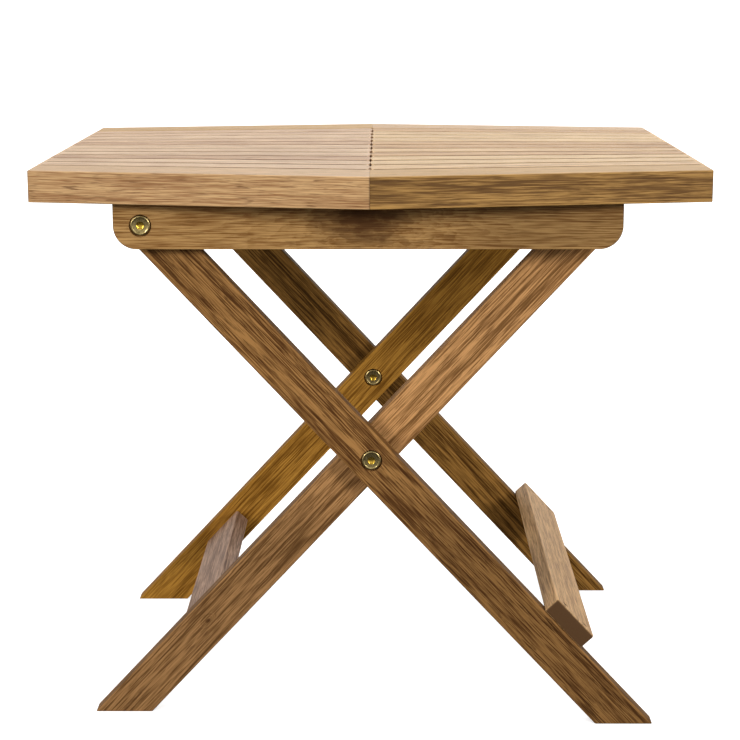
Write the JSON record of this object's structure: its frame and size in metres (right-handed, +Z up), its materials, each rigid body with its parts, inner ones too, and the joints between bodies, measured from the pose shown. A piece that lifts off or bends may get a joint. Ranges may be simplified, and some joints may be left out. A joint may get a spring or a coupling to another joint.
{
  "type": "folding side table",
  "caption": "Folding wooden side table: a slatted, elongated hexagonal top on two crossing leg frames with stretchers and flat-headed pivot bolts.",
  "frame": {"origin": "on the floor, under the centre of the top", "axes": "+Z up, +X across the crossed legs towards the free end of the top, +Y along the pivots to the rear"},
  "size_m": [0.574, 0.5598, 0.5],
  "materials": {
    "slat_acacia": "oiled, satin",
    "edge_acacia_light": "oiled, satin",
    "edge_acacia_dark": "oiled, satin",
    "rail_acacia": "oiled, satin",
    "batten_acacia": "oiled, matt",
    "outer_leg_acacia": "oiled, satin",
    "inner_leg_acacia": "oiled, satin",
    "stretcher_acacia": "oiled, satin",
    "antique_brass": "brushed antique brass",
    "screw_steel": "dulled steel"
  },
  "bodies": {
    "outer_frame": {"outer_leg_front": "outer_leg_acacia", "outer_leg_rear": "outer_leg_acacia", "outer_stretcher": "stretcher_acacia", "stretcher_screw_upper_front": "screw_steel", "stretcher_screw_upper_rear": "screw_steel", "stretcher_screw_lower_front": "screw_steel", "stretcher_screw_lower_rear": "screw_steel", "cross_pivot_bolt_front": "antique_brass", "cross_pivot_bolt_rear": "antique_brass", "cross_pivot_nut_front": "antique_brass", "cross_pivot_nut_rear": "antique_brass", "cross_pivot_spacer_front": "antique_brass", "cross_pivot_spacer_rear": "antique_brass", "top_pivot_washer_front": "antique_brass", "top_pivot_washer_rear": "antique_brass"},
    "top": {"slat_left_01": "slat_acacia", "slat_left_02": "slat_acacia", "slat_left_03": "slat_acacia", "slat_left_04": "slat_acacia", "slat_left_05": "slat_acacia", "slat_left_06": "slat_acacia", "slat_left_07": "slat_acacia", "slat_left_08": "slat_acacia", "slat_left_09": "slat_acacia", "slat_left_10": "slat_acacia", "slat_left_11": "slat_acacia", "slat_right_01": "slat_acacia", "slat_right_02": "slat_acacia", "slat_right_03": "slat_acacia", "slat_right_04": "slat_acacia", "slat_right_05": "slat_acacia", "slat_right_06": "slat_acacia", "slat_right_07": "slat_acacia", "slat_right_08": "slat_acacia", "slat_right_09": "slat_acacia", "slat_right_10": "slat_acacia", "slat_right_11": "slat_acacia", "edge_board_left_front": "edge_acacia_light", "edge_board_left_rear": "edge_acacia_dark", "edge_board_right_front": "edge_acacia_dark", "edge_board_right_rear": "edge_acacia_light", "batten_centre": "batten_acacia", "batten_left_middle": "batten_acacia", "batten_left_end": "batten_acacia", "batten_right_middle": "batten_acacia", "batten_right_end": "batten_acacia", "stop_cleat": "batten_acacia", "rail_front": "rail_acacia", "rail_rear": "rail_acacia", "top_pivot_bolt_front": "antique_brass", "top_pivot_bolt_rear": "antique_brass", "top_pivot_nut_front": "antique_brass", "top_pivot_nut_rear": "antique_brass"},
    "inner_frame": {"inner_leg_front": "inner_leg_acacia", "inner_leg_rear": "inner_leg_acacia", "inner_stretcher": "stretcher_acacia", "top_bar": "batten_acacia"}
  },
  "joints": [
    {"name": "top_lift", "type": "hinge", "parent": "outer_frame", "child": "top", "pos_m": [-0.19389, 0, 0.45301], "axis": [0, -1, 0], "range_deg": [0, 42.7]},
    {"name": "leg_scissor", "type": "hinge", "parent": "outer_frame", "child": "inner_frame", "pos_m": [0.0008, 0, 0.2435], "axis": [0, -1, 0], "range_deg": [0, 85.4]}
  ],
  "couplings": [
    {"joint": "leg_scissor", "follows": "top_lift", "ratio": 2}
  ]
}
